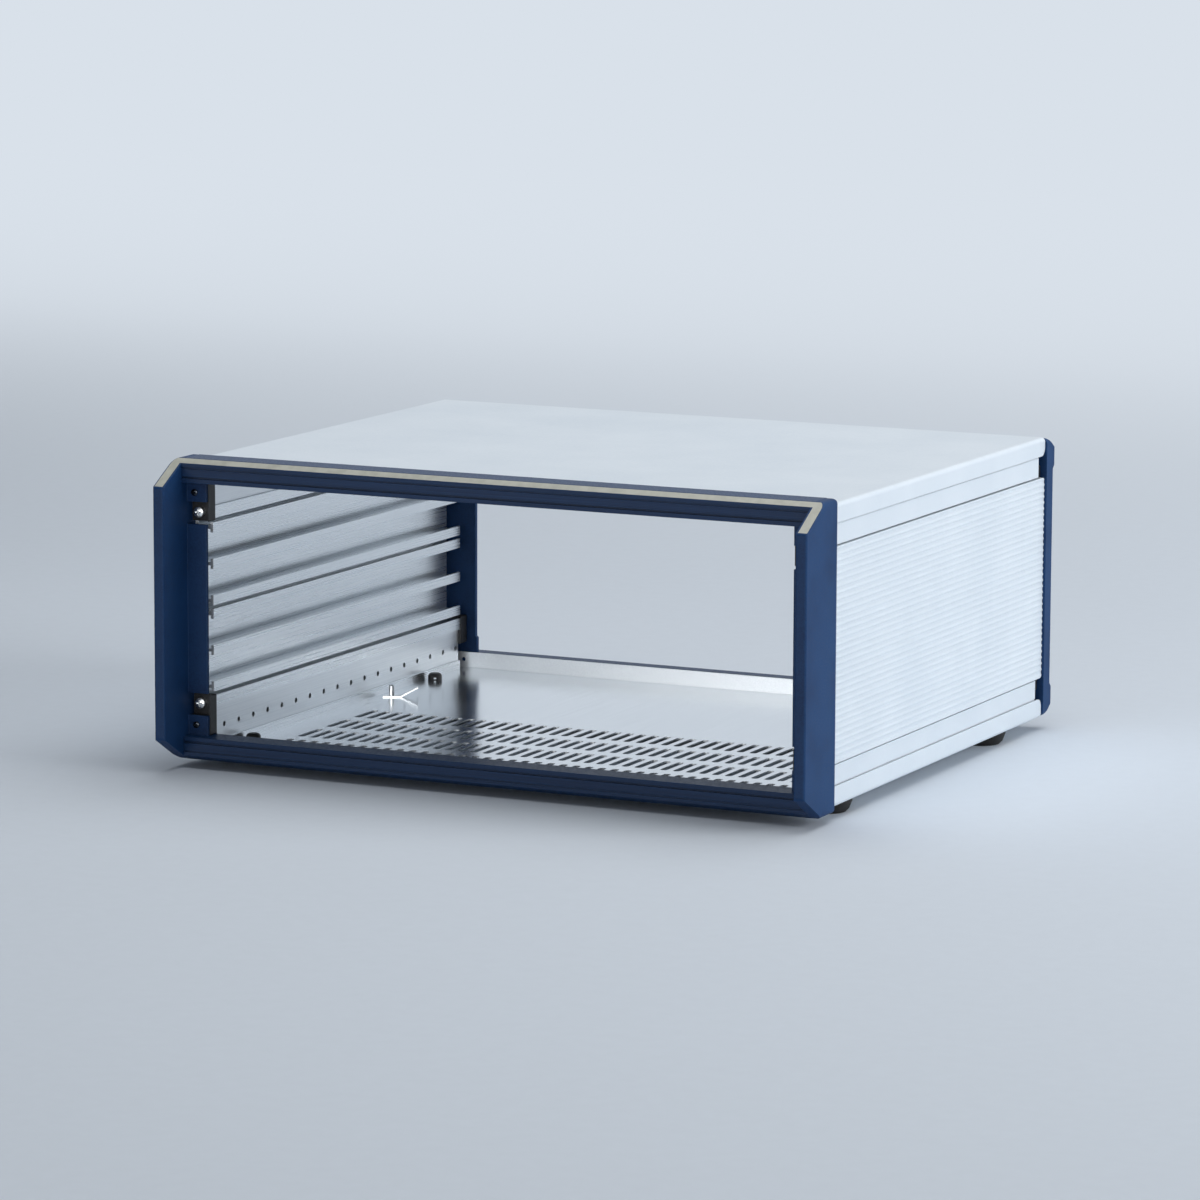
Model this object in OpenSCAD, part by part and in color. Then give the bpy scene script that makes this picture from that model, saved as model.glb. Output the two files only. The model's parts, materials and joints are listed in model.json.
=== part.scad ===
// Desktop eurocard case: ribbed aluminium sides, folded covers, open front bezel and rear frame.
// x runs to the right, y to the back and z up from the table. Depths are counted from the front edge
// of the cheeks, and placed() then moves the case so that the middle of its depth lies at y = 0.

/* [Case] */
// Width over the front and rear cheeks
bezel_w = 470; // [440:1:520]
// Height of the body over both covers
body_h = 195.6; // [180:0.2:240]
// Depth of the body between the front and rear bezels
body_len = 363.4; // [340:0.2:420]
// How far the body's sides lie inside the cheeks
side_inset = 1.6; // [1:0.1:3]

/* [Front bezel] */
// Depth of the front bezel
bezel_d = 49; // [44:1:60]
// How far the front bezel stands above and below the body
bezel_over = 3.4; // [2.5:0.1:5]
// Thickness of the cheeks
cheek_t = 8; // [7:0.5:9]
// Depth of the cheek chamfer
chamfer_y = 29.5; // [24:0.5:34]
// Height of the cheek chamfer
chamfer_z = 17; // [14:1:20]
// Corner radius of the bezel seen from the front
bezel_r = 4.5; // [3:0.5:7]
// How far the rails reach forward of the chamfer's inner end
rail_reach = 5.3; // [4:0.1:6]
// Height of the front rails
rail_h = 15.8; // [14:0.1:18]
// Wall of the hollow front rails
rail_wall = 2.5; // [1.5:0.1:3.5]
// Height of the lip under the rail's shadow groove
rail_lip = 2.8; // [2.5:0.1:4.5]
// Width of the rail's shadow groove
groove_w = 1.4; // [0.8:0.1:2]
// Depth of the rail's shadow groove
groove_d = 2; // [1:0.1:2.2]
// Overlap of the bezel over the side walls
lap = 6.2; // [4:0.1:7]
// Thickness of the panel flange
flange_t = 2.5; // [2:0.1:3]
// Width of the panel flange
flange_w = 14.5; // [14:0.5:18]
// Height of the screw notch in the flange
notch_h = 15.2; // [12:0.2:17]
// Land of the rail above and below the trim strip
trim_land = 0.4; // [0.3:0.1:0.8]
// Thickness of the trim strip
trim_t = 0.8; // [0.5:0.1:1.2]
// Margin of the trim strip to the cheek's outer face
trim_edge = 0.6; // [0.5:0.1:1.5]
// Margin of the trim strip to the cheek's inner face
trim_in = 1.2; // [0.8:0.1:2]
// Drop of the rail's fine recess line below the bezel's top
recess_drop = 5.4; // [5:0.1:7]

/* [Corner blocks] */
// Height of a front corner block
block_h = 27; // [25:0.5:32]
// Depth of a front corner block between the flange and the wall
block_d = 8.9; // [8:0.1:10]
// Reach of a front corner block from the cheek
block_w = 15; // [13:0.5:15]
// Web of a front corner block behind the screw head
block_web = 4; // [3:0.5:5]
// Reach of a rear corner block inwards from the wall's outer face
rear_block_w = 17; // [15:0.5:19]
// Height of a rear corner block
rear_block_h = 20; // [16:0.5:26]
// Distance of the rear corner blocks from the rear rails
rear_block_up = 7; // [0.3:0.1:10]

/* [Rear frame] */
// Depth of the rear frame
rear_d = 11.2; // [10:0.2:16]
// Extra depth of the rear frame's corners
corner_d = 3.8; // [2:0.2:6]
// Height of the rear frame's deeper corners
corner_h = 22; // [18:1:30]
// Corner radius of the rear frame seen from behind
rear_r = 4; // [3:0.5:6]
// Depth of the rear corner chamfer
rear_cham_y = 12; // [9:0.5:12]
// Height of the rear corner chamfer
rear_cham_z = 8; // [6:0.5:10]
// Height of the rear rails
rear_rail_h = 12.3; // [11:0.1:12.6]
// Wall of the hollow rear rails
rear_wall = 1.6; // [1.2:0.1:2]
// Inner reach of the rear flange from the cheek
rear_flange_w = 21; // [18:0.5:23]
// Thickness of the rear flange
rear_flange_t = 3; // [2:0.5:4]
// How far the rear frame stays inside the covers' height
rear_under = 0.8; // [0:0.1:2]
// Gap between the side wall's rear end and the rear frame
rear_gap = 9.4; // [6:0.2:12]

/* [Covers] */
// Sheet thickness of the covers
sheet_t = 1.2; // [1:0.1:1.5]
// Outer radius of the covers' long folds
fold_r = 3; // [2.5:0.5:5]
// Height of the top cover's side rims
rim_top = 12.4; // [11:0.2:16]
// Height of the bottom cover's side rims
rim_bot = 13.6; // [12:0.2:17]
// Radius at the rear corners of the rims
rim_r = 6; // [3:0.5:7]
// How far the bottom cover's rear flange stays below the rear opening
tail_drop = 0.1; // [0.1:0.1:3]
// Length of the vent slots
slot_len = 30; // [20:1:34]
// Width of the vent slots
slot_w = 5; // [3:0.5:6]
// Spacing of the vent slots across the case
slot_pitch = 9.35; // [8:0.05:12]
// Spacing of the slot rows along the case
row_pitch = 40.5; // [38:0.5:50]
// Least gap between the slot field and the feet
slot_gap = 2; // [1:0.5:10]
// Rows of vent slots
row_count = 4; // [1:1:6]
// Middle of the first slot row behind the bezel
row_start = 38; // [30:1:50]

/* [Side walls] */
// Depth of the wall section from the body's side to the inner face of its web
wall_depth = 8.6; // [8:0.2:10]
// Thickness of the wall's web and flanges
wall_t = 2.5; // [2:0.1:3]
// Reach of the inner ledges
ledge_reach = 11; // [9:0.5:11]
// Thickness of the inner ledges
ledge_t = 2.2; // [1.6:0.1:3]
// Height of the lips on the ledges' inner edges
tip_t = 6.8; // [5:0.1:8]
// Thickness of the lips on the ledges' inner edges
tip_w = 2; // [1.5:0.1:3]
// Distance of the first ledge pair from the wall's middle
ledge_first = 4.6; // [4:0.1:6]
// Spacing of the ledges
ledge_pitch = 24.5; // [22:0.1:25]
// Recess of the plain bands behind the rims
band_in = 1; // [0.6:0.1:1.2]
// Thickness of the ribbed side panels
panel_t = 3; // [2.4:0.1:3.4]
// Height of the panel's lower edge over the body's underside
panel_rise = 28.2; // [27:0.2:30]
// Drop of the panel's upper edge below the body's top
panel_drop = 27.6; // [24:0.2:30]
// Radius at the rear corners of the ribbed side panels
panel_r = 3; // [2:0.5:4]
// Spacing of the ribs on the side panels
rib_pitch = 4.16; // [3:0.02:6]
// Depth of the ribs on the side panels
rib_d = 0.4; // [0.3:0.05:0.8]

/* [Mounting strips] */
// Thickness of the perforated strips
strip_t = 1.5; // [1:0.1:1.5]
// Height of the perforated strips
strip_h = 30; // [28:0.2:31]
// Diameter of the strip holes
strip_hole_d = 3.6; // [2.5:0.1:5]
// Spacing of the strip holes
strip_pitch = 20; // [10:0.1:25]
// First strip hole behind the strip's front end
strip_first = 10; // [6:1:15]
// Height of the hole row above the strip's outer edge
strip_row = 12.5; // [10:0.5:15]

/* [Feet] */
// Height of the feet
foot_h = 9; // [5:0.1:12]
// Diameter of the feet
foot_d = 35; // [22:1:40]
// Stems of the feet inside the side walls' inner edge
foot_in = 6.8; // [6:0.1:12]
// How far a foot's pad lies outside its stem
foot_shift = 6; // [0:0.5:8]
// Front feet behind the front bezel
foot_start = 35; // [22:1:60]
// Rear feet ahead of the rear frame
foot_end = 62; // [30:0.2:90]
// Diameter of the foot's stem
stem_d = 8; // [6:0.5:9]
// Diameter of the plug's pin
pin_d = 4; // [3:0.5:5]
// Diameter of the plug's head
plug_d = 10; // [9.5:0.5:11]
// Height of the plug's head
plug_h = 5.4; // [4:0.2:8]

/* [Screws] */
// Thread of the corner screws
screw_d = 4; // [3:0.5:5]
// Head diameter of the corner screws
head_d = 7; // [6:0.2:9]
// Head height of the corner screws
head_h = 4; // [2:0.1:4.5]
// Reach of the corner screws into the wall
screw_bite = 14; // [8:1:25]
// Corner screws from the panel opening's end
screw_z = 21; // [20:0.2:23]
// Thread of the flange screws
small_d = 2.5; // [2:0.5:3]
// Head diameter of the flange screws
small_head_d = 4.4; // [4:0.2:5]
// Flange screws from the panel opening's end
small_z = 7.2; // [6:0.2:8]

/* [Earth terminal] */
// Earth stud inside the left wall's inner edge
earth_in = 10.4; // [9:0.2:30]
// Place of the earth stud behind the front bezel
earth_y = 228; // [210:1:260]
// Diameter of the earth stud
stud_d = 4; // [3:0.5:5]
// Height of the earth stud over the bottom cover
stud_h = 8.4; // [6:0.2:12]
// Turn of the terminal towards the back
earth_turn = 25; // [0:1:45]
// Width of the terminal
blade_w = 6.3; // [4.8:0.1:6.3]
// Thickness of the terminal
blade_t = 0.8; // [0.5:0.1:1]
// Length of the terminal's slanted blade
blade_len = 13; // [8:0.5:16]
// Rise of the slanted blade
blade_tilt = 28; // [15:1:60]
// Reach of the terminal from the stud to its free end
lug_end = 6; // [4:0.5:7]
// Reach of the terminal from the stud to its bend
lug_bend = 7.5; // [5:0.5:10]

/* [Hidden] */
$fn = 48;
eps = 0.01;

// Clearances: between parts that slide past each other, beside the bands, at ends that butt, round screws
slide = 0.2;
seam = 1;
butt = 0.2;
screw_play = 0.4;
thread_play = 0.1;

// Colours of the finishes
slate = "#2f5582";
cream = "#c3c2b2";
paint = "#dfe8ef";
alu = "#c4cbd2";
zinc = "#d9dcdd";
black = "#1b1c1f";

// Planes of the case
half_w = bezel_w / 2;
side_x = half_w - side_inset;
cheek_x = half_w - cheek_t;
body_z0 = foot_h;
body_z1 = body_z0 + body_h;
mid_z = body_z0 + body_h / 2;
bezel_z0 = body_z0 - bezel_over;
bezel_z1 = body_z1 + bezel_over;
open_z0 = bezel_z0 + rail_h;
open_z1 = bezel_z1 - rail_h;
rear_z0 = body_z0 + rear_under;
rear_z1 = body_z1 - rear_under;
rear_y = bezel_d + body_len;
total_d = rear_y + rear_d + corner_d;

// Chamfer plane of the cheeks, and the rails' front in it
cham_tan = chamfer_z / chamfer_y;
cham_angle = atan(cham_tan);
cham_len = norm([chamfer_y, chamfer_z]);
rail_y = chamfer_y - rail_reach;
rail_slope = rail_reach / cos(cham_angle);

// Side wall section: web, skins and the ends of the extrusion
wall_y0 = bezel_d - lap + butt;
wall_y1 = rear_y - rear_gap;
web_x = side_x - wall_depth;
tip_x = web_x - ledge_reach;
rim_x = side_x - sheet_t - slide;
band_x = side_x - band_in;
seat_x = side_x - panel_t;
skin_t = 2;
wall_z0 = body_z0 + sheet_t;
wall_z1 = body_z1 - sheet_t;
rim_z0 = body_z0 + rim_bot;
rim_z1 = body_z1 - rim_top;
panel_z0 = body_z0 + panel_rise;
panel_z1 = body_z1 - panel_drop;

// Rib outline over one pitch: place along the pitch and share of the depth
rib_outline = [[0.2, 0], [0.4, 1], [0.8, 1], [1, 0]];

// Panel flange in front of the corner blocks
flange_y = wall_y0 - block_d - flange_t;

// Grooves that hold the perforated strips, measured from the wall's lower end
lip_t = 1.4;
lip_h = 6;
strip_x = tip_x + lip_t + slide;
back_x = strip_x + strip_t + slide;
strip_z0 = wall_z0 + wall_t + slide;
boss_half = 4.7;
hook_h = 4;
strip_len = wall_y1 - bezel_d;
strip_count = floor((strip_len - strip_first - strip_hole_d) / strip_pitch) + 1;

// Screws of the four corners, shared by blocks, flanges and the bores in the wall's bosses
corner_x = (back_x + web_x) / 2;
corner_z = [open_z0 + screw_z, open_z1 - screw_z];
seat_y = wall_y0 - block_web;
small_zs = [open_z0 + small_z, open_z1 - small_z];
small_head_h = 1.5;
small_bite = 7;
// Share of a screw head's diameter and height that its cross recess takes
cross_span = 0.66;
cross_depth = 0.46;
cross_w = 1.1;

// Feet, plugs and their holes
foot_x = tip_x - foot_in;
foot_xs = [-foot_x, foot_x];
foot_ys = [bezel_d + foot_start, rear_y - foot_end];
foot_edge = 2;
stem_play = 0.2;
plug_slot = 1.8;
plug_cut = 2.6;
plug_turn = 26;
plug_dome = 2.6;
pin_len = 5;

// Earth stud on the bottom cover
earth_x = earth_in - tip_x;
stud_tip = 0.6;

// Vent slots, as many each side of the middle as the feet leave room for
slot_side = floor((foot_x + foot_shift - foot_d / 2 - slot_gap - slot_w / 2) / slot_pitch);

// Small edges, gaps and holes
edge_r = 1.5;
nose_r = 2.5;
gusset = 1.2;
gusset_h = 12;
block_edge = 1;
vent_gap = 0.3;
recess_h = 1.2;
recess_d = 0.9;
tail_hole_d = 3.2;
tail_hole_in = 9;

// Outline helpers
function unit(v) = v / norm(v);
function turn(v, a) = [v[0] * cos(a) - v[1] * sin(a), v[0] * sin(a) + v[1] * cos(a)];
function fillet(a, p, b, r, n = 6) =
    let (u = unit(a - p), v = unit(b - p), h = acos(u * v) / 2)
    let (c = p + unit(u + v) * r / sin(h), s = p + u * r / tan(h) - c)
    let (sweep = (180 - 2 * h) * sign(cross(p - a, b - p)))
    [for (i = [0:n]) c + turn(s, sweep * i / n)];
function rounded(p, r) = let (n = len(p))
    [for (i = [0:n - 1]) each fillet(p[(i + n - 1) % n], p[i], p[(i + 1) % n], r[i])];

module bar(x0, x1, z0, z1) {
    translate([min(x0, x1), min(z0, z1)]) square([abs(x1 - x0), abs(z1 - z0)]);
}

module rounded_bar(x0, x1, z0, z1, r) {
    bar(x0 + r, x1 - r, z0, z1);
    bar(x0, x1, z0 + r, z1 - r);
    for (x = [x0 + r, x1 - r], z = [z0 + r, z1 - r]) translate([x, z]) circle(r);
}

// A section in x and z carried along y, one in y and z carried along x, one in x and y carried up
module along_y(y0, y1) {
    translate([0, y1, 0]) rotate([90, 0, 0]) linear_extrude(y1 - y0) children();
}

module along_x(x0, x1) {
    translate([x0, 0, 0]) rotate([90, 0, 90]) linear_extrude(x1 - x0) children();
}

module along_z(z0, z1) {
    translate([0, 0, z0]) linear_extrude(z1 - z0) children();
}

module hole_y(x, z, d, y0, y1) {
    translate([x, y0, z]) rotate([-90, 0, 0]) cylinder(d = d, h = y1 - y0);
}

module left() {
    mirror([1, 0, 0]) children();
}

module flip_z(z) {
    translate([0, 0, 2 * z]) mirror([0, 0, 1]) children();
}

module placed() {
    translate([0, -total_d / 2, 0]) children();
}

// Front bezel
module trim_outline() {
    inner_x = cheek_x + trim_in;
    start = nose_r * tan((90 - cham_angle) / 2) + trim_land;
    difference() {
        bar(-half_w, half_w, start, cham_len - trim_land);
        bar(-inner_x, inner_x, -eps, cham_len - rail_slope + trim_land);
    }
}

// Strip in the chamfer plane; the tool for its seat also reaches outwards, past that plane
module trim_plate(reach = 0) {
    intersection() {
        translate([0, 0, bezel_z1 - chamfer_z]) rotate([cham_angle, 0, 0])
            translate([0, 0, -trim_t]) linear_extrude(trim_t + reach) trim_outline();
        along_y(-bezel_d, bezel_d)
            rounded_bar(trim_edge - half_w, half_w - trim_edge, bezel_z0, bezel_z1, bezel_r - trim_edge);
    }
}

module trim_seat() {
    trim_plate(trim_t);
}

module cheek_profile() {
    polygon(rounded(
        [[0, bezel_z0 + chamfer_z], [chamfer_y, bezel_z0], [bezel_d, bezel_z0], [bezel_d, bezel_z1],
            [chamfer_y, bezel_z1], [0, bezel_z1 - chamfer_z]],
        [nose_r, nose_r, edge_r, edge_r, nose_r, nose_r]));
}

module flange_notches() {
    for (z = corner_z)
        along_y(flange_y - eps, seat_y)
            bar(cheek_x - flange_w - eps, cheek_x, z - notch_h / 2, z + notch_h / 2);
}

module front_cheek() {
    difference() {
        union() {
            intersection() {
                along_x(cheek_x, half_w) cheek_profile();
                along_y(0, bezel_d) rounded_bar(-half_w, half_w, bezel_z0, bezel_z1, bezel_r);
                along_z(bezel_z0, bezel_z1) {
                    rounded_bar(cheek_x, half_w, 0, bezel_d, edge_r);
                    bar(cheek_x, half_w - edge_r, edge_r, bezel_d);
                }
            }
            along_y(flange_y, flange_y + flange_t)
                bar(cheek_x - flange_w, cheek_x + eps, open_z0, open_z1);
        }
        trim_seat();
        along_y(bezel_d - lap, bezel_d + eps)
            bar(cheek_x - eps, band_x + slide, wall_z0 - slide, wall_z1 + slide);
        flange_notches();
        for (z = small_zs)
            hole_y(corner_x, z, small_d + screw_play, flange_y - eps, flange_y + flange_t + eps);
    }
}

module rail_profile() {
    back_y = bezel_d - lap;
    groove_z = open_z1 + rail_lip;
    line_z = bezel_z1 - recess_drop;
    difference() {
        polygon([[rail_y, open_z1], [back_y, open_z1], [back_y, body_z1 + slide], [bezel_d, body_z1 + slide],
            [bezel_d, bezel_z1], [chamfer_y, bezel_z1], [rail_y, bezel_z1 - rail_reach * cham_tan]]);
        bar(rail_y - eps, rail_y + groove_d, groove_z, groove_z + groove_w);
        bar(rail_y - eps, rail_y + recess_d, line_z - recess_h, line_z);
        bar(rail_y + groove_d + rail_wall, back_y - rail_wall, open_z1 + rail_wall,
            body_z1 + slide - rail_wall);
    }
}

module front_rail() {
    along_x(-cheek_x, cheek_x) rail_profile();
}

module front_block() {
    color(black) placed() difference() {
        along_y(flange_y + flange_t, wall_y0)
            rounded_bar(cheek_x - block_w, cheek_x, open_z1 - block_h, open_z1, block_edge);
        flange_notches();
        hole_y(corner_x, corner_z[1], screw_d + screw_play, seat_y - eps, wall_y0 + eps);
        hole_y(corner_x, small_zs[1], small_d + thread_play, flange_y, flange_y + flange_t + small_bite);
    }
}

module left_front_cheek() {
    color(slate) placed() left() front_cheek();
}

module right_front_cheek() {
    color(slate) placed() front_cheek();
}

module front_top_rail() {
    color(slate) placed() difference() {
        front_rail();
        trim_seat();
    }
}

module front_bottom_rail() {
    color(slate) placed() flip_z(mid_z) front_rail();
}

module front_trim_strip() {
    color(cream) placed() trim_plate();
}

module upper_left_front_block() {
    left() front_block();
}

module upper_right_front_block() {
    front_block();
}

module lower_left_front_block() {
    flip_z(mid_z) left() front_block();
}

module lower_right_front_block() {
    flip_z(mid_z) front_block();
}

// Pan head screw along +y, its head's underside at y = 0
module pan_screw(d, head, h, reach) {
    difference() {
        union() {
            rotate([-90, 0, 0]) cylinder(d = d, h = reach);
            rotate([90, 0, 0]) rotate_extrude() intersection() {
                translate([0, h - head]) circle(head);
                bar(0, head / 2, 0, h);
            }
        }
        for (a = [0, 90]) rotate([0, a, 0])
            translate([-head * cross_span / 2, -h - eps, -cross_w / 2])
                cube([head * cross_span, h * cross_depth, cross_w]);
    }
}

module at_corners(y) {
    for (s = [-1, 1], z = corner_z) translate([s * corner_x, y, z]) children();
}

module front_corner_screws() {
    color(zinc) placed() at_corners(seat_y) pan_screw(screw_d, head_d, head_h, block_web + screw_bite);
}

module front_flange_screws() {
    color(black) placed() for (s = [-1, 1], z = small_zs) translate([s * corner_x, flange_y, z])
        pan_screw(small_d, small_head_d, small_head_h, flange_t + small_bite - butt);
}

// Side walls
module lower_channel() {
    bar(tip_x, side_x - fold_r, wall_z0, wall_z0 + wall_t);
    bar(tip_x, tip_x + lip_t, wall_z0, wall_z0 + lip_h);
    bar(back_x, back_x + lip_t, wall_z0, wall_z0 + lip_h);
    bar(back_x, web_x + eps, corner_z[0] - boss_half, corner_z[0] + boss_half);
    bar(tip_x, back_x + eps, strip_z0 + strip_h + slide, corner_z[0] + boss_half);
    bar(tip_x, tip_x + lip_t, strip_z0 + strip_h - hook_h, corner_z[0] + boss_half);
}

module ledge(z) {
    bar(tip_x, web_x + eps, z - ledge_t / 2, z + ledge_t / 2);
    bar(tip_x, tip_x + tip_w, z - tip_t / 2, z + tip_t / 2);
    bar(web_x, seat_x, z - ledge_t / 2, z + ledge_t / 2);
}

// Box behind a plain band, from its rim edge to its panel edge, with a skin on towards the wall's end
module band_box(rim_z, edge_z, end) {
    out = sign(end - rim_z);
    foot_z = end - out * fold_r;
    bar(band_x - skin_t, band_x, rim_z, edge_z);
    bar(web_x, band_x, edge_z, edge_z + out * skin_t);
    bar(web_x, band_x, rim_z, rim_z - out * skin_t);
    bar(rim_x - skin_t, rim_x, rim_z - out * skin_t, foot_z);
    bar(web_x, rim_x, foot_z, foot_z - out * skin_t);
}

module side_wall_section() {
    bar(web_x, web_x + wall_t, wall_z0, wall_z1);
    lower_channel();
    translate([0, 2 * mid_z]) mirror([0, 1]) lower_channel();
    for (s = [-1, 1], i = [0:2]) ledge(mid_z + s * (ledge_first + i * ledge_pitch));
    band_box(rim_z0 + seam, panel_z0 - seam, wall_z0);
    band_box(rim_z1 - seam, panel_z1 + seam, wall_z1);
}

module side_wall() {
    color(alu) placed() difference() {
        along_y(wall_y0, wall_y1) side_wall_section();
        for (z = corner_z) hole_y(corner_x, z, screw_d + thread_play, wall_y0 - eps, wall_y1 + eps);
    }
}

module left_side_wall() {
    left() side_wall();
}

module right_side_wall() {
    side_wall();
}

// Ribbed side panels
module panel_section() {
    panel_h = panel_z1 - panel_z0;
    ribs = floor(panel_h / rib_pitch);
    start = panel_z0 + (panel_h - ribs * rib_pitch) / 2;
    polygon(concat(
        [[seat_x, panel_z1], [seat_x, panel_z0], [side_x, panel_z0]],
        [for (i = [0:ribs - 1], p = rib_outline) [side_x - rib_d * p[1], start + (i + p[0]) * rib_pitch]],
        [[side_x, panel_z1]]));
}

module side_panel() {
    color(paint) placed() intersection() {
        along_y(bezel_d + butt, rear_y - butt) panel_section();
        along_x(seat_x - eps, side_x + eps) union() {
            rounded_bar(bezel_d + butt, rear_y - butt, panel_z0, panel_z1, panel_r);
            bar(bezel_d + butt, bezel_d + butt + panel_r, panel_z0, panel_z1);
        }
    }
}

module left_side_panel() {
    left() side_panel();
}

module right_side_panel() {
    side_panel();
}

// Perforated strips
module strip() {
    color(alu) placed() difference() {
        along_x(strip_x, strip_x + strip_t) bar(bezel_d, wall_y1, strip_z0, strip_z0 + strip_h);
        for (i = [0:strip_count - 1])
            translate([strip_x - eps, bezel_d + strip_first + i * strip_pitch, strip_z0 + strip_row])
                rotate([0, 90, 0]) cylinder(d = strip_hole_d, h = strip_t + 2 * eps);
    }
}

module upper_left_strip() {
    flip_z(mid_z) left() strip();
}

module upper_right_strip() {
    flip_z(mid_z) strip();
}

module lower_left_strip() {
    left() strip();
}

module lower_right_strip() {
    strip();
}

// Covers: both are drawn with their sheet at the bottom and rims upwards
module cover_section(rim) {
    r_in = fold_r - sheet_t;
    difference() {
        union() {
            bar(-side_x, side_x, body_z0 + fold_r, body_z0 + rim);
            bar(fold_r - side_x, side_x - fold_r, body_z0, body_z0 + rim);
            for (s = [-1, 1]) translate([s * (side_x - fold_r), body_z0 + fold_r]) circle(fold_r);
        }
        bar(sheet_t - side_x, side_x - sheet_t, body_z0 + fold_r, body_z0 + rim + eps);
        bar(fold_r - side_x, side_x - fold_r, body_z0 + sheet_t, body_z0 + rim + eps);
        for (s = [-1, 1]) translate([s * (side_x - fold_r), body_z0 + fold_r]) circle(r_in);
    }
}

module cover(rim) {
    y1 = rear_y - butt;
    difference() {
        union() {
            along_y(bezel_d + butt, y1) cover_section(rim);
            along_z(body_z0, body_z0 + sheet_t)
                bar(fold_r - cheek_x, cheek_x - fold_r, bezel_d - lap + 2 * butt, bezel_d + lap);
        }
        along_x(-half_w, half_w) difference() {
            bar(y1 - rim_r, y1 + eps, body_z0 + rim - rim_r, body_z0 + rim + eps);
            translate([y1 - rim_r, body_z0 + rim - rim_r]) circle(rim_r);
        }
    }
}

module vent_slots() {
    for (i = [-slot_side:slot_side], j = [0:row_count - 1])
        translate([i * slot_pitch, bezel_d + row_start + j * row_pitch]) {
            square([slot_w, slot_len - slot_w], center = true);
            for (s = [-1, 1]) translate([0, s * (slot_len - slot_w) / 2]) circle(d = slot_w);
        }
}

module tail_flange() {
    y1 = rear_y - butt;
    y0 = y1 - sheet_t;
    half = cheek_x - fold_r;
    top_z = body_z0 + rear_rail_h - tail_drop;
    hole_z = (wall_z0 + top_z) / 2;
    difference() {
        along_y(y0, y1) bar(-half, half, body_z0, top_z);
        for (s = [-1, 1]) hole_y(s * (half - tail_hole_in), hole_z, tail_hole_d, y0 - eps, y1 + eps);
    }
}

module top_cover() {
    color(paint) placed() flip_z(mid_z) cover(rim_top);
}

module bottom_cover() {
    color(paint) placed() difference() {
        union() {
            cover(rim_bot);
            tail_flange();
        }
        along_z(body_z0 - eps, body_z0 + sheet_t + eps) {
            vent_slots();
            for (x = foot_xs, y = foot_ys) translate([x, y]) circle(d = stem_d + 2 * stem_play);
            translate([earth_x, bezel_d + earth_y]) circle(d = stud_d + screw_play);
        }
    }
}

// Rear frame
module rear_profile() {
    y0 = rear_y;
    y1 = rear_y + rear_d;
    y2 = y1 + corner_d;
    polygon([[y0, rear_z0], [y2 - rear_cham_y, rear_z0], [y2, rear_z0 + rear_cham_z],
        [y2, rear_z0 + corner_h - corner_d], [y1, rear_z0 + corner_h], [y1, rear_z1 - corner_h],
        [y2, rear_z1 - corner_h + corner_d], [y2, rear_z1 - rear_cham_z], [y2 - rear_cham_y, rear_z1],
        [y0, rear_z1]]);
}

module rear_flange_outline() {
    x0 = cheek_x - rear_flange_w;
    z0 = body_z0 + rear_rail_h;
    z1 = body_z1 - rear_rail_h;
    polygon([[x0 - gusset, z0], [cheek_x + eps, z0], [cheek_x + eps, z1], [x0 - gusset, z1],
        [x0 - gusset, z1 - gusset_h + gusset], [x0, z1 - gusset_h], [x0, z0 + gusset_h],
        [x0 - gusset, z0 + gusset_h - gusset]]);
}

module rear_cheek() {
    color(slate) placed() difference() {
        union() {
            intersection() {
                along_x(cheek_x, half_w) rear_profile();
                along_y(rear_y, total_d) rounded_bar(-half_w, half_w, rear_z0, rear_z1, rear_r);
                along_z(rear_z0, rear_z1) rounded_bar(-half_w, half_w, bezel_d, total_d, edge_r);
            }
            along_y(rear_y, rear_y + rear_flange_t) rear_flange_outline();
        }
        for (z = corner_z)
            hole_y(corner_x, z, screw_d + screw_play, rear_y - eps, rear_y + rear_flange_t + eps);
    }
}

module rear_rail() {
    y1 = rear_y + rear_d;
    slope = rear_cham_z / rear_cham_y;
    y_top = total_d - rear_cham_y;
    edge_z = rear_z1 - (y1 - y_top) * slope;
    under_z = body_z1 - rear_rail_h;
    color(slate) placed() along_x(-cheek_x, cheek_x) difference() {
        polygon([[rear_y, under_z], [y1, under_z], [y1, edge_z], [y_top, rear_z1], [rear_y, rear_z1]]);
        bar(rear_y + rear_wall, y1 - rear_wall, under_z + rear_wall, edge_z - rear_wall);
    }
}

module rear_block() {
    x1 = seat_x - vent_gap;
    z1 = body_z1 - rear_rail_h - rear_block_up;
    color(black) placed() difference() {
        along_y(wall_y1, rear_y) rounded_bar(x1 - rear_block_w, x1, z1 - rear_block_h, z1, block_edge);
        hole_y(corner_x, corner_z[1], screw_d + screw_play, wall_y1 - eps, rear_y + eps);
    }
}

module left_rear_cheek() {
    left() rear_cheek();
}

module right_rear_cheek() {
    rear_cheek();
}

module rear_top_rail() {
    rear_rail();
}

module rear_bottom_rail() {
    flip_z(mid_z) rear_rail();
}

module upper_left_rear_block() {
    left() rear_block();
}

module upper_right_rear_block() {
    rear_block();
}

module lower_left_rear_block() {
    flip_z(mid_z) left() rear_block();
}

module lower_right_rear_block() {
    flip_z(mid_z) rear_block();
}

module rear_corner_screws() {
    color(zinc) placed() at_corners(rear_y + rear_flange_t) rotate([0, 0, 180])
        pan_screw(screw_d, head_d, head_h, rear_flange_t + rear_gap + screw_bite);
}

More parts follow.
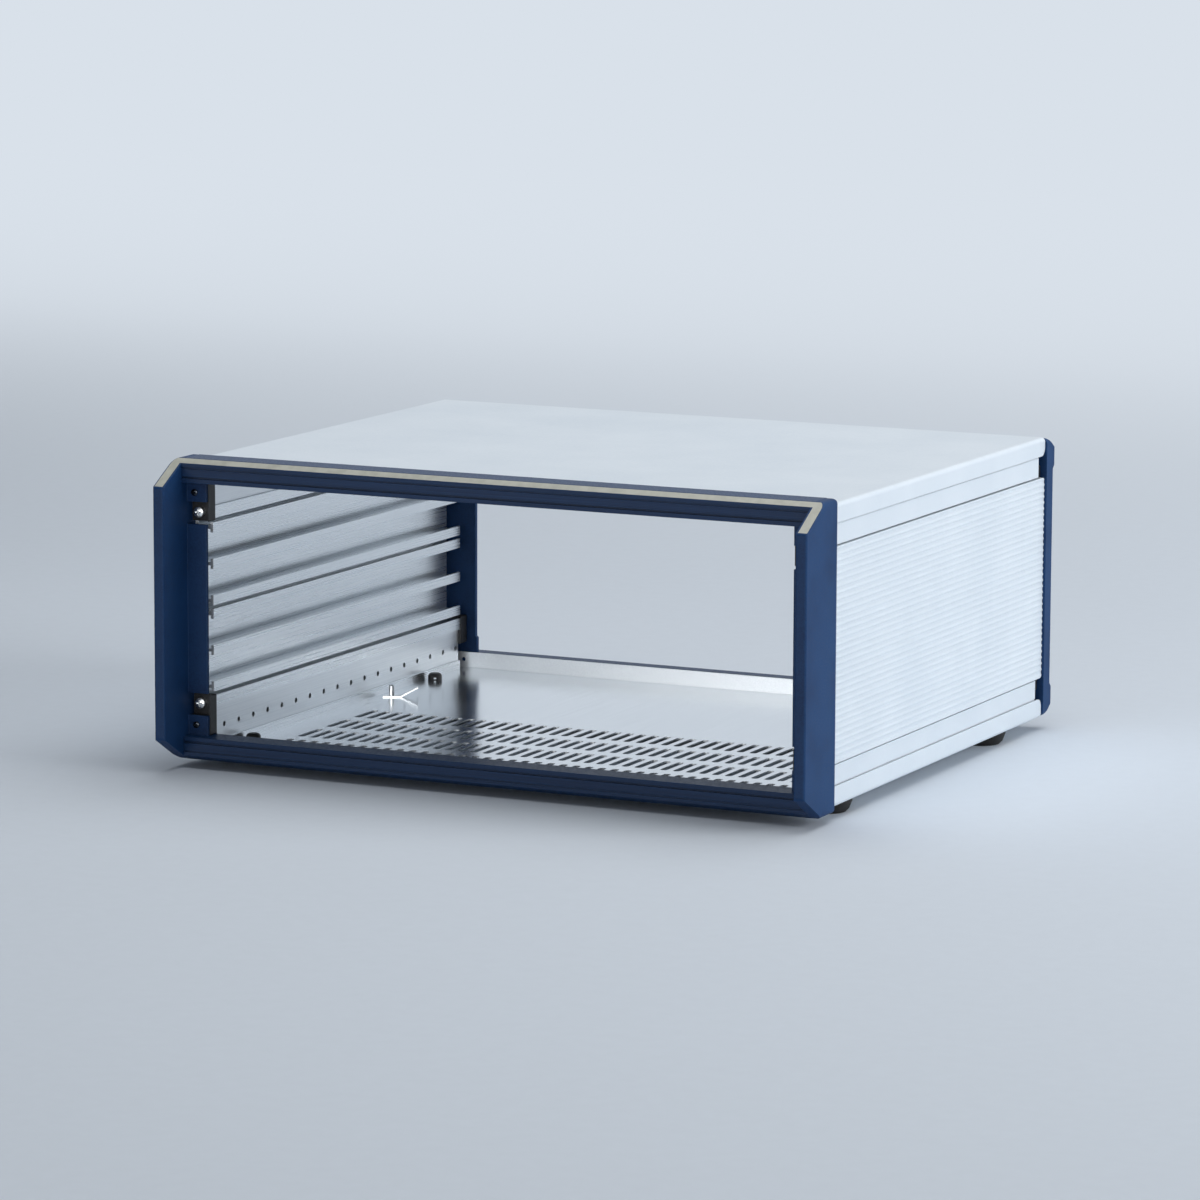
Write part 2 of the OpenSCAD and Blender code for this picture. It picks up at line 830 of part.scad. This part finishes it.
// Feet with a stem through the bottom cover, held by a notched plug pushed in from above
module foot(i, j) {
    r = foot_d / 2;
    color(black) placed() translate([foot_xs[i], foot_ys[j], 0]) difference() {
        union() {
            translate([sign(foot_xs[i]) * foot_shift, 0, 0]) rotate_extrude()
                polygon([[0, 0], [r - 2 * foot_edge, 0], [r - foot_edge, foot_edge],
                    [r, foot_h - foot_edge], [r, foot_h], [0, foot_h]]);
            translate([0, 0, foot_edge]) cylinder(d = stem_d, h = wall_z0 - foot_edge);
        }
        translate([0, 0, wall_z0 - pin_len - butt]) cylinder(d = pin_d + slide, h = pin_len + butt + eps);
    }
}

module plug(i, j) {
    color(black) placed() translate([foot_xs[i], foot_ys[j], wall_z0]) {
        difference() {
            rotate_extrude() {
                bar(0, plug_d / 2, 0, plug_h - plug_dome);
                bar(0, plug_d / 2 - plug_dome, 0, plug_h);
                translate([plug_d / 2 - plug_dome, plug_h - plug_dome]) intersection() {
                    circle(plug_dome);
                    square(plug_dome);
                }
            }
            rotate(plug_turn) translate([-plug_slot / 2, -plug_d, -eps])
                cube([plug_slot, 2 * plug_d, plug_cut + eps]);
        }
        translate([0, 0, -pin_len]) cylinder(d = pin_d, h = pin_len + eps);
    }
}

module front_left_foot() {
    foot(0, 0);
}

module front_right_foot() {
    foot(1, 0);
}

module rear_left_foot() {
    foot(0, 1);
}

module rear_right_foot() {
    foot(1, 1);
}

module front_left_plug() {
    plug(0, 0);
}

module front_right_plug() {
    plug(1, 0);
}

module rear_left_plug() {
    plug(0, 1);
}

module rear_right_plug() {
    plug(1, 1);
}

// Earth stud through the bottom cover, with a flat terminal whose blade slants up
module earth_frame() {
    placed() translate([earth_x, bezel_d + earth_y, wall_z0]) children();
}

module earth_terminal() {
    color(zinc) earth_frame() difference() {
        rotate(earth_turn) translate([0, blade_w / 2, 0]) rotate([90, 0, 0]) linear_extrude(blade_w) union() {
            bar(-lug_end, lug_bend, 0, blade_t);
            translate([lug_bend - blade_t, 0]) rotate(blade_tilt) square([blade_len + blade_t, blade_t]);
        }
        translate([0, 0, -eps]) cylinder(d = stud_d + screw_play, h = blade_t + 2 * eps);
    }
}

module earth_stud() {
    color(zinc) earth_frame() {
        translate([0, 0, -sheet_t]) cylinder(d = stud_d, h = sheet_t + stud_h - stud_tip);
        translate([0, 0, stud_h - stud_tip - eps])
            cylinder(d1 = stud_d, d2 = stud_d - 2 * stud_tip, h = stud_tip + eps);
    }
}

left_front_cheek();
right_front_cheek();
front_top_rail();
front_bottom_rail();
front_trim_strip();
upper_left_front_block();
upper_right_front_block();
lower_left_front_block();
lower_right_front_block();
front_corner_screws();
front_flange_screws();
left_side_wall();
right_side_wall();
left_side_panel();
right_side_panel();
upper_left_strip();
upper_right_strip();
lower_left_strip();
lower_right_strip();
top_cover();
bottom_cover();
left_rear_cheek();
right_rear_cheek();
rear_top_rail();
rear_bottom_rail();
upper_left_rear_block();
upper_right_rear_block();
lower_left_rear_block();
lower_right_rear_block();
rear_corner_screws();
front_left_foot();
front_right_foot();
rear_left_foot();
rear_right_foot();
front_left_plug();
front_right_plug();
rear_left_plug();
rear_right_plug();
earth_terminal();
earth_stud();
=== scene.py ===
import json
import math

import bpy
import numpy as np
from mathutils import Matrix, Vector


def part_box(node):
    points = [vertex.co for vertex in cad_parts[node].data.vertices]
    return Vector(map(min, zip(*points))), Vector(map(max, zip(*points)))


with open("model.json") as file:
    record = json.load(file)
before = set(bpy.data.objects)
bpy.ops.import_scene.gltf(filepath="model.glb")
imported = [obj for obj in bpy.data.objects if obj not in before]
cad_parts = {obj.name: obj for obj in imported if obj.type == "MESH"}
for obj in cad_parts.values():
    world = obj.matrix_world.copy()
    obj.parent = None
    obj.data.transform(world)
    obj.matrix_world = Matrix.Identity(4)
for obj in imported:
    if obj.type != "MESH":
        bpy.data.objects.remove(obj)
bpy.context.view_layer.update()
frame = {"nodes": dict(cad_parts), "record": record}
nodes = frame["nodes"]

mm = 0.001
scene = bpy.context.scene
scene.view_settings.view_transform = "Standard"


# sRGB hex text to the linear colour that a socket takes
def linear(hexText):
    part = np.array([int(hexText[i:i + 2], 16) for i in (1, 3, 5)]) / 255.0
    flat = np.where(part <= 0.04045, part / 12.92, ((part + 0.055) / 1.055) ** 2.4)
    return (*map(float, flat), 1.0)


# adds one shader node: settings go to its colour stops, its own properties or else its sockets, links feed sockets
def add(tree, kind, settings=None, links=None):
    made = tree.nodes.new("ShaderNode" + kind)
    for key, value in (settings or {}).items():
        if key == "stops":  # pairs of a place on the ramp and a hex colour
            for stop, (place, colour) in zip(made.color_ramp.elements, value):
                stop.position, stop.color = place, linear(colour)
        elif isinstance(key, str) and hasattr(made, key):
            setattr(made, key, value)
        else:
            made.inputs[key].default_value = value
    for key, source in (links or {}).items():
        tree.links.new(source, made.inputs[key])
    return made


# a material with an empty tree, and its Object coordinates
def startMaterial(name):
    made = bpy.data.materials.new(name)
    made.use_nodes = True
    made.node_tree.nodes.clear()
    place = add(made.node_tree, "TexCoord").outputs["Object"]
    return made, made.node_tree, place


# in the looks below, lengths are in mm, rough runs from the smoothest to the dullest spot, bump is a strength
# and depth its height
noiseSpan = {"From Min": 0.3, "From Max": 0.7}  # where nearly all of a noise lies
edgeWearAndHighlightSet = {"flat": 0.99, "round": 0.88, "samples": 4}  # cosines between the true and the rounded normal


# edges rounded by the look's radius, and a mask of the edges that the lighter edge colour covers, partly real edge
# wear and partly a painted edge highlight, broken up by a pattern
def softEdges(tree, look, pattern):
    soft = add(tree, "Bevel", {"samples": edgeWearAndHighlightSet["samples"], "Radius": look["edge"] * mm}).outputs["Normal"]
    flat = add(tree, "NewGeometry").outputs["True Normal"]
    turned = add(tree, "VectorMath", {"operation": "DOT_PRODUCT"}, {0: soft, 1: flat})
    edge = add(tree, "MapRange", {"From Min": edgeWearAndHighlightSet["flat"], "From Max": edgeWearAndHighlightSet["round"]},
               {"Value": turned.outputs["Value"]})
    edgeWearAndHighlight = add(tree, "Math", {"operation": "MULTIPLY"}, {0: edge.outputs["Result"], 1: pattern})
    return soft, edgeWearAndHighlight.outputs[0]


# moulded polycarbonate, spark-eroded tool: an even dark blue with a fine dull grain
# real grain 0.3 mm, drawn at 0.9 mm so that it shows
# the lighter edge colour stands partly for wear and partly for a painted highlight along the edges
mouldedLook = {"deep": "#132f55", "light": "#1d406c", "edgeWearAndHighlight": "#486a95", "grain": 0.9, "cloud": 40.0,
               "grainShare": 0.75, "rough": (0.44, 0.60), "edge": 0.7, "bump": 0.35, "depth": 0.12,
               "ior": 1.52, "specular": 0.14}


def mouldedPolycarbonate():
    look = mouldedLook
    made, tree, place = startMaterial("moulded polycarbonate, slate blue")
    grain = add(tree, "TexNoise", {"Scale": 1 / (look["grain"] * mm), "Detail": 2.0, "Roughness": 0.6},
                {"Vector": place})
    cloud = add(tree, "TexNoise", {"Scale": 1 / (look["cloud"] * mm), "Detail": 3.0}, {"Vector": place})
    both = add(tree, "Math", {"operation": "MULTIPLY_ADD", 1: look["grainShare"]},
               {0: grain.outputs["Fac"], 2: cloud.outputs["Fac"]})
    tone = add(tree, "ValToRGB", {"stops": ((0.55, look["deep"]), (0.9615, look["light"]))},
               {"Fac": both.outputs[0]})
    dull = add(tree, "MapRange", {**noiseSpan, "To Min": look["rough"][0], "To Max": look["rough"][1]},
               {"Value": grain.outputs["Fac"]})
    soft, edgeWearAndHighlight = softEdges(tree, look, cloud.outputs["Fac"])
    # lighter colour on the rounded edges: partly wear, partly a painted edge highlight
    shade = add(tree, "Mix", {"data_type": "RGBA", 7: linear(look["edgeWearAndHighlight"])}, {0: edgeWearAndHighlight, 6: tone.outputs["Color"]})
    bump = add(tree, "Bump", {"Strength": look["bump"], "Distance": look["depth"] * mm},
               {"Height": grain.outputs["Fac"], "Normal": soft})
    shader = add(tree, "BsdfPrincipled", {"IOR": look["ior"], "Specular IOR Level": look["specular"]},
                 {"Base Color": shade.outputs[2], "Roughness": dull.outputs["Result"],
                  "Normal": bump.outputs["Normal"]})
    add(tree, "OutputMaterial", links={"Surface": shader.outputs["BSDF"]})
    return made


# satin paint on an extruded rail: the same blue, smoother, with an orange peel and faint drawing lines along x
# the lighter edge colour stands partly for wear and partly for a painted highlight along the edges
railLook = {"deep": "#132f53", "light": "#1c3e68", "edgeWearAndHighlight": "#43658f", "line": 0.8, "run": 120.0, "peel": 1.6,
            "lineShare": 0.5, "rough": (0.36, 0.48), "edge": 0.5, "bump": 0.15, "depth": 0.06, "ior": 1.5,
            "specular": 0.16}


def paintedExtrusion():
    look = railLook
    made, tree, place = startMaterial("satin paint on extruded aluminium, slate blue")
    across, along = 1 / (look["line"] * mm), 1 / (look["run"] * mm)
    stretch = add(tree, "Mapping", {"Scale": (along, across, across)}, {"Vector": place})
    line = add(tree, "TexNoise", {"Scale": 1.0, "Detail": 3.0}, {"Vector": stretch.outputs["Vector"]})
    peel = add(tree, "TexNoise", {"Scale": 1 / (look["peel"] * mm), "Detail": 1.0}, {"Vector": place})
    tone = add(tree, "ValToRGB", {"stops": ((0.3, look["deep"]), (0.75, look["light"]))},
               {"Fac": line.outputs["Fac"]})
    dull = add(tree, "MapRange", {**noiseSpan, "To Min": look["rough"][0], "To Max": look["rough"][1]},
               {"Value": peel.outputs["Fac"]})
    high = add(tree, "Math", {"operation": "MULTIPLY_ADD", 1: look["lineShare"]},
               {0: line.outputs["Fac"], 2: peel.outputs["Fac"]})
    soft, edgeWearAndHighlight = softEdges(tree, look, peel.outputs["Fac"])
    # lighter colour on the rounded edges: partly wear, partly a painted edge highlight
    shade = add(tree, "Mix", {"data_type": "RGBA", 7: linear(look["edgeWearAndHighlight"])}, {0: edgeWearAndHighlight, 6: tone.outputs["Color"]})
    bump = add(tree, "Bump", {"Strength": look["bump"], "Distance": look["depth"] * mm},
               {"Height": high.outputs[0], "Normal": soft})
    shader = add(tree, "BsdfPrincipled", {"IOR": look["ior"], "Specular IOR Level": look["specular"]},
                 {"Base Color": shade.outputs[2], "Roughness": dull.outputs["Result"],
                  "Normal": bump.outputs["Normal"]})
    add(tree, "OutputMaterial", links={"Surface": shader.outputs["BSDF"]})
    return made


# lacquered trim strip: warm grey with a soft sheen and a trace of handling marks
trimLook = {"pale": "#c2c3b8", "dim": "#b3b4a9", "mark": 6.0, "rough": (0.28, 0.42), "ior": 1.5}


def lacqueredTrim():
    look = trimLook
    made, tree, place = startMaterial("lacquered trim strip, warm grey")
    mark = add(tree, "TexNoise", {"Scale": 1 / (look["mark"] * mm), "Detail": 5.0}, {"Vector": place})
    tone = add(tree, "ValToRGB", {"stops": ((0.3, look["dim"]), (0.65, look["pale"]))},
               {"Fac": mark.outputs["Fac"]})
    dull = add(tree, "MapRange", {**noiseSpan, "To Min": look["rough"][0], "To Max": look["rough"][1]},
               {"Value": mark.outputs["Fac"]})
    shader = add(tree, "BsdfPrincipled", {"IOR": look["ior"]},
                 {"Base Color": tone.outputs["Color"], "Roughness": dull.outputs["Result"]})
    add(tree, "OutputMaterial", links={"Surface": shader.outputs["BSDF"]})
    return made


# powder coat: pale cool white with an orange peel, real cells 1 mm, drawn at 2 mm so that they show
coatLook = {"pale": "#dbe4ec", "dim": "#d4dee7", "peel": 2.0, "cloud": 60.0, "rough": (0.36, 0.48),
            "bump": 0.10, "depth": 0.08, "ior": 1.5}


# colour, roughness and height of the coat
def coatTone(tree, place, look):
    cloud = add(tree, "TexNoise", {"Scale": 1 / (look["cloud"] * mm), "Detail": 4.0}, {"Vector": place})
    tone = add(tree, "ValToRGB", {"stops": ((0.3, look["dim"]), (0.7, look["pale"]))},
               {"Fac": cloud.outputs["Fac"]})
    peel = add(tree, "TexNoise", {"Scale": 1 / (look["peel"] * mm), "Detail": 1.0}, {"Vector": place})
    dull = add(tree, "MapRange", {**noiseSpan, "To Min": look["rough"][0], "To Max": look["rough"][1]},
               {"Value": peel.outputs["Fac"]})
    return tone.outputs["Color"], dull.outputs["Result"], peel.outputs["Fac"]


def powderCoat():
    look = coatLook
    made, tree, place = startMaterial("powder coat, pale")
    tone, dull, peel = coatTone(tree, place, look)
    bump = add(tree, "Bump", {"Strength": look["bump"], "Distance": look["depth"] * mm}, {"Height": peel})
    shader = add(tree, "BsdfPrincipled", {"IOR": look["ior"]},
                 {"Base Color": tone, "Roughness": dull, "Normal": bump.outputs["Normal"]})
    add(tree, "OutputMaterial", links={"Surface": shader.outputs["BSDF"]})
    return made


# mill-finish aluminium, extruded or rolled along y: bright, with fine lines in the drawing direction
# real lines 0.1 mm, drawn at 0.7 mm so that they show; cut is the roughness of sawn, punched or folded metal
millLook = {"bright": "#e6eaed", "grey": "#d6dbe0", "line": 0.7, "run": 160.0, "bump": 0.015, "depth": 0.04}
lidLook = {**millLook, "rough": (0.20, 0.27)}
baseLook = {**millLook, "rough": (0.15, 0.22), "cut": 0.5}
wallLook = {**millLook, "rough": (0.25, 0.32), "cut": 0.6}
stripLook = {**millLook, "rough": (0.33, 0.40), "bump": 0.025, "depth": 0.03}


# colour, roughness and height of the bare metal
def millTone(tree, place, look):
    across, along = 1 / (look["line"] * mm), 1 / (look["run"] * mm)
    stretch = add(tree, "Mapping", {"Scale": (across, along, across)}, {"Vector": place})
    line = add(tree, "TexNoise", {"Scale": 1.0, "Detail": 4.0, "Roughness": 0.65},
               {"Vector": stretch.outputs["Vector"]})
    tone = add(tree, "ValToRGB", {"stops": ((0.3, look["grey"]), (0.7, look["bright"]))},
               {"Fac": line.outputs["Fac"]})
    dull = add(tree, "MapRange", {**noiseSpan, "To Min": look["rough"][0], "To Max": look["rough"][1]},
               {"Value": line.outputs["Fac"]})
    return tone.outputs["Color"], dull.outputs["Result"], line.outputs["Fac"]


def millAluminium(look):
    made, tree, place = startMaterial("mill-finish aluminium")
    tone, dull, line = millTone(tree, place, look)
    bump = add(tree, "Bump", {"Strength": look["bump"], "Distance": look["depth"] * mm}, {"Height": line})
    shader = add(tree, "BsdfPrincipled", {"Metallic": 1.0},
                 {"Base Color": tone, "Roughness": dull, "Normal": bump.outputs["Normal"]})
    add(tree, "OutputMaterial", links={"Surface": shader.outputs["BSDF"]})
    return made


# sheet or extrusion that is coated outside and bare inside: bare is the mask, 1 where all the limits hold
# a limit is a direction and a place in metres: bare below that place along the direction, x without its sign
# each drawn stretch is an axis with its low and high end: sawn, punched or folded metal beyond it is rougher
def coatedOutside(name, limits, look, drawn=()):
    made, tree, place = startMaterial(name)
    mirrored = add(tree, "VectorMath", {"operation": "ABSOLUTE"}, {0: place})
    part = add(tree, "SeparateXYZ", links={"Vector": place})
    folded = add(tree, "SeparateXYZ", links={"Vector": mirrored.outputs["Vector"]})
    spot = add(tree, "CombineXYZ", links={"X": folded.outputs["X"], "Y": part.outputs["Y"],
                                          "Z": part.outputs["Z"]})
    bare = None
    for way, edge in limits:
        along = add(tree, "VectorMath", {"operation": "DOT_PRODUCT", 1: way}, {0: spot.outputs["Vector"]})
        test = add(tree, "Math", {"operation": "LESS_THAN", 1: edge}, {0: along.outputs["Value"]})
        bare = test if bare is None else add(tree, "Math", {"operation": "MULTIPLY"},
                                             {0: bare.outputs[0], 1: test.outputs[0]})
    coat, coatDull, peel = coatTone(tree, place, coatLook)
    metal, metalDull, line = millTone(tree, place, look)
    for axis, low, high in drawn:
        smooth = add(tree, "Math", {"operation": "COMPARE", 1: (low + high) / 2, 2: (high - low) / 2},
                     {0: part.outputs[axis]})
        metalDull = add(tree, "Mix", {"data_type": "FLOAT", 2: look["cut"]},
                        {0: smooth.outputs[0], 3: metalDull}).outputs[0]
    tone = add(tree, "Mix", {"data_type": "RGBA"}, {0: bare.outputs[0], 6: coat, 7: metal})
    dull = add(tree, "Mix", {"data_type": "FLOAT"}, {0: bare.outputs[0], 2: coatDull, 3: metalDull})
    height = add(tree, "Mix", {"data_type": "FLOAT"}, {0: bare.outputs[0], 2: peel, 3: line})
    bump = add(tree, "Bump", {"Strength": look["bump"], "Distance": look["depth"] * mm},
               {"Height": height.outputs[0]})
    shader = add(tree, "BsdfPrincipled", {"IOR": coatLook["ior"]},
                 {"Base Color": tone.outputs[2], "Roughness": dull.outputs[0], "Metallic": bare.outputs[0],
                  "Normal": bump.outputs["Normal"]})
    add(tree, "OutputMaterial", links={"Surface": shader.outputs["BSDF"]})
    return made


# zinc plating: a slightly cloudy passivated film, cool silver or black
zincLook = {"bright": "#f0f2f2", "cloudy": "#dfe2e4", "cloud": 1.5, "rough": (0.26, 0.40)}
blackZincLook = {"bright": "#43474d", "cloudy": "#282b30", "cloud": 1.2, "rough": (0.18, 0.32)}


def zincPlate(name, look):
    made, tree, place = startMaterial(name)
    cloud = add(tree, "TexNoise", {"Scale": 1 / (look["cloud"] * mm), "Detail": 3.0}, {"Vector": place})
    tone = add(tree, "ValToRGB", {"stops": ((0.3, look["cloudy"]), (0.7, look["bright"]))},
               {"Fac": cloud.outputs["Fac"]})
    dull = add(tree, "MapRange", {**noiseSpan, "To Min": look["rough"][0], "To Max": look["rough"][1]},
               {"Value": cloud.outputs["Fac"]})
    shader = add(tree, "BsdfPrincipled", {"Metallic": 1.0},
                 {"Base Color": tone.outputs["Color"], "Roughness": dull.outputs["Result"]})
    add(tree, "OutputMaterial", links={"Surface": shader.outputs["BSDF"]})
    return made


# black glass-filled nylon: near black, with a dull moulded skin
nylonLook = {"deep": "#141519", "light": "#24262b", "grain": 1.0, "rough": (0.40, 0.56), "bump": 0.2, "depth": 0.1,
             "ior": 1.5}
# black rubber: dull, with a dusty bloom
rubberLook = {**nylonLook, "deep": "#0b0b0c", "light": "#181819", "grain": 1.4, "rough": (0.64, 0.80)}


def blackMoulding(name, look):
    made, tree, place = startMaterial(name)
    grain = add(tree, "TexNoise", {"Scale": 1 / (look["grain"] * mm), "Detail": 3.0}, {"Vector": place})
    tone = add(tree, "ValToRGB", {"stops": ((0.35, look["deep"]), (0.7, look["light"]))},
               {"Fac": grain.outputs["Fac"]})
    dull = add(tree, "MapRange", {**noiseSpan, "To Min": look["rough"][0], "To Max": look["rough"][1]},
               {"Value": grain.outputs["Fac"]})
    bump = add(tree, "Bump", {"Strength": look["bump"], "Distance": look["depth"] * mm},
               {"Height": grain.outputs["Fac"]})
    shader = add(tree, "BsdfPrincipled", {"IOR": look["ior"]},
                 {"Base Color": tone.outputs["Color"], "Roughness": dull.outputs["Result"],
                  "Normal": bump.outputs["Normal"]})
    add(tree, "OutputMaterial", links={"Surface": shader.outputs["BSDF"]})
    return made


# limits between coat and bare metal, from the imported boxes: just inside the outer faces, with the long folds
# taken by a limit across the corner; the punched edges of the vent slots, the sawn ends of the walls and the
# rear flange, scuffed by the folding tool, are bare and rough
sheet, foldIn, skin, coatOnWall = 1.2 * mm, 3.2 * mm, 0.05 * mm, 0.1 * mm
baseLow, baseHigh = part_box("bottom_cover")
lidLow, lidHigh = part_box("top_cover")
wallLow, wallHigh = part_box("right_side_wall")
baseLimits = [((0, 0, -1), -baseLow.z - skin), ((1, 0, 0), baseHigh.x - sheet / 2),
              ((1, 0, -1), baseHigh.x - baseLow.z - foldIn), ((0, 1, 0), baseHigh.y - sheet / 2)]
baseDrawn = [("Z", baseLow.z + sheet - skin, baseHigh.z - skin), ("Y", baseLow.y, baseHigh.y - 1.5 * sheet)]
lidLimits = [((0, 0, 1), lidHigh.z - sheet / 2), ((1, 0, 0), lidHigh.x - sheet / 2),
             ((1, 0, 1), lidHigh.x + lidHigh.z - foldIn)]
wallLimits = [((1, 0, 0), wallHigh.x - coatOnWall)]
wallDrawn = [("Y", wallLow.y + skin, wallHigh.y - skin)]
finishes = {
    "mouldedCheek": mouldedPolycarbonate(),
    "paintedRail": paintedExtrusion(),
    "trim": lacqueredTrim(),
    "coat": powderCoat(),
    "baseSheet": coatedOutside("aluminium sheet, coated outside, base", baseLimits, baseLook, baseDrawn),
    "lidSheet": coatedOutside("aluminium sheet, coated outside, lid", lidLimits, lidLook),
    "wall": coatedOutside("extruded aluminium, coated outside", wallLimits, wallLook, wallDrawn),
    "strip": millAluminium(stripLook),
    "zinc": zincPlate("bright zinc plate", zincLook),
    "blackZinc": zincPlate("black zinc plate", blackZincLook),
    "nylon": blackMoulding("black glass-filled nylon", nylonLook),
    "rubber": blackMoulding("black rubber", rubberLook),
}
finishOfSlot = {
    "slate_moulding": "mouldedCheek", "slate_paint": "paintedRail", "cream_trim": "trim",
    "black_plastic": "nylon", "zinc_steel": "zinc", "black_steel": "blackZinc",
    "bare_aluminium": "strip", "pale_paint": "coat", "black_rubber": "rubber",
}
finishOfNode = {
    "top_cover": "lidSheet", "bottom_cover": "baseSheet", "left_side_wall": "wall", "right_side_wall": "wall",
}
for part in frame["record"]["subparts"]:
    name = part["node"]
    finish = finishOfNode.get(name, finishOfSlot[part["material_slot"]])
    for slot in nodes[name].material_slots:
        slot.material = finishes[finish]
print("finishes set on", len(nodes), "nodes")


# stage in metres: a floor that sweeps up into a wall behind, one profile carried along x
# between the two fade places it turns, for camera and glossy rays, into an even light tone, and near the case
# it keeps the shadow; paper is the darkest and lightest share of its tone, on flecks of grain mm
stageSet = {"tone": "#d2dae3", "wall": "#d9e1ea", "half": 9.0, "front": -7.0, "back": 2.2, "bend": 1.5, "top": 6.0,
            "steps": 25, "fade": (0.5, 2.8), "grain": 11.111, "paper": (0.985, 1.0)}


# profile: straight floor, a quarter circle of the bend's radius, then the upright wall
def sweepStage():
    s = stageSet
    turn = np.linspace(0.0, math.pi / 2, s["steps"])
    profile = np.concatenate([
        [[s["front"], 0.0]],
        np.stack([s["back"] + s["bend"] * np.sin(turn), s["bend"] * (1 - np.cos(turn))], 1),
        [[s["back"] + s["bend"], s["top"]]]])
    count = len(profile)
    left = np.column_stack([np.full(count, -s["half"]), profile])
    right = np.column_stack([np.full(count, s["half"]), profile])
    first = np.arange(count - 1)
    faces = np.stack([first, first + count, first + count + 1, first + 1], 1)
    mesh = bpy.data.meshes.new("stage")
    mesh.from_pydata(np.concatenate([left, right]).tolist(), [], faces.tolist())
    mesh.polygons.foreach_set("use_smooth", np.ones(len(faces), bool))
    made, tree, place = startMaterial("stage paper")
    grain = add(tree, "TexNoise", {"Scale": 1 / (s["grain"] * mm), "Detail": 2.0}, {"Vector": place})
    tone = add(tree, "MapRange", {**noiseSpan, "To Min": s["paper"][0], "To Max": s["paper"][1]},
               {"Value": grain.outputs["Fac"]})
    paper = add(tree, "Mix", {"data_type": "RGBA", "blend_type": "MULTIPLY", 0: 1.0, 6: linear(s["tone"])},
                {7: tone.outputs["Result"]})
    matt = add(tree, "BsdfDiffuse", {}, {"Color": paper.outputs[2]})
    glow = add(tree, "Emission", {"Color": linear(s["wall"]), "Strength": 1.0})
    ray = add(tree, "LightPath")
    seen = add(tree, "Math", {"operation": "MAXIMUM"},
               {0: ray.outputs["Is Camera Ray"], 1: ray.outputs["Is Glossy Ray"]})
    spot = add(tree, "SeparateXYZ", links={"Vector": place})
    rise = add(tree, "MapRange", {"interpolation_type": "SMOOTHSTEP", "From Min": s["fade"][0],
                                  "From Max": s["fade"][1]}, {"Value": spot.outputs["Y"]})
    share = add(tree, "Math", {"operation": "MULTIPLY"}, {0: seen.outputs[0], 1: rise.outputs["Result"]})
    both = add(tree, "MixShader", {}, {0: share.outputs[0], 1: matt.outputs["BSDF"], 2: glow.outputs["Emission"]})
    add(tree, "OutputMaterial", links={"Surface": both.outputs["Shader"]})
    mesh.materials.append(made)
    floor = bpy.data.objects.new("stage", mesh)
    scene.collection.objects.link(floor)


sweepStage()

# soft boxes: (place, aim, size in metres, power in watts)
softBoxes = {
    "overhead": ((0.4, 0.4, 3.0), (0.0, 0.0, 0.1), (3.2, 2.6), 66.0),
    "right": ((3.4, 0.5, 1.1), (0.0, 0.0, 0.1), (2.2, 1.8), 72.0),
    "card": ((0.0, -3.9, 0.85), (0.0, 0.0, 0.05), (5.4, 1.6), 20.0),
    "gleam": ((0.0, -4.0, 0.5), (0.0, 0.0, 0.1), (7.0, 0.7), 96.0),
}
for name, (place, aim, size, power) in softBoxes.items():
    lamp = bpy.data.lights.new(name, "AREA")
    lamp.shape, lamp.size, lamp.size_y, lamp.energy = "RECTANGLE", size[0], size[1], power
    holder = bpy.data.objects.new(name, lamp)
    holder.matrix_world = Matrix.Translation(place) @ (
        (Vector(aim) - Vector(place)).to_track_quat("-Z", "Y").to_matrix().to_4x4())
    holder.visible_camera = False
    holder.visible_diffuse = name != "gleam"  # that one is there for the shine of bare metal alone
    scene.collection.objects.link(holder)

# even sky fill, and a pale surrounding for camera rays
skySet = {"tone": "#e3e9f0", "fill": 0.16, "seen": 0.85}
world = bpy.data.worlds.new("studio")
world.use_nodes = True
sky = world.node_tree.nodes["Background"]
sky.inputs["Color"].default_value = linear(skySet["tone"])
ray = add(world.node_tree, "LightPath")
level = add(world.node_tree, "MapRange", {"To Min": skySet["fill"], "To Max": skySet["seen"]},
            {"Value": ray.outputs["Is Camera Ray"]})
world.node_tree.links.new(level.outputs["Result"], sky.inputs["Strength"])
scene.world = world
print("stage and light set")

# camera: turned right of the front and raised, with the roll and lens of the photograph
cameraSet = {"azimuth": 25.657, "elevation": 9.075, "roll": 0.207, "distance": 3.8115,
             "aim": (-0.0104, 0.0, 0.1021), "lens": 168.77, "sensor": 36.0, "farthest": 60.0}


def placeCamera():
    c = cameraSet
    az, el, roll = (math.radians(c[key]) for key in ("azimuth", "elevation", "roll"))
    back = Vector((math.sin(az) * math.cos(el), -math.cos(az) * math.cos(el), math.sin(el)))
    right = Vector((math.cos(az), math.sin(az), 0.0))
    up = back.cross(right)
    turned = Matrix((right * math.cos(roll) + up * math.sin(roll),
                     up * math.cos(roll) - right * math.sin(roll), back)).transposed()
    lens = bpy.data.cameras.new("camera")
    lens.lens, lens.sensor_width, lens.clip_end = c["lens"], c["sensor"], c["farthest"]
    holder = bpy.data.objects.new("camera", lens)
    holder.matrix_world = Matrix.Translation(Vector(c["aim"]) + back * c["distance"]) @ turned.to_4x4()
    scene.collection.objects.link(holder)
    scene.camera = holder


placeCamera()
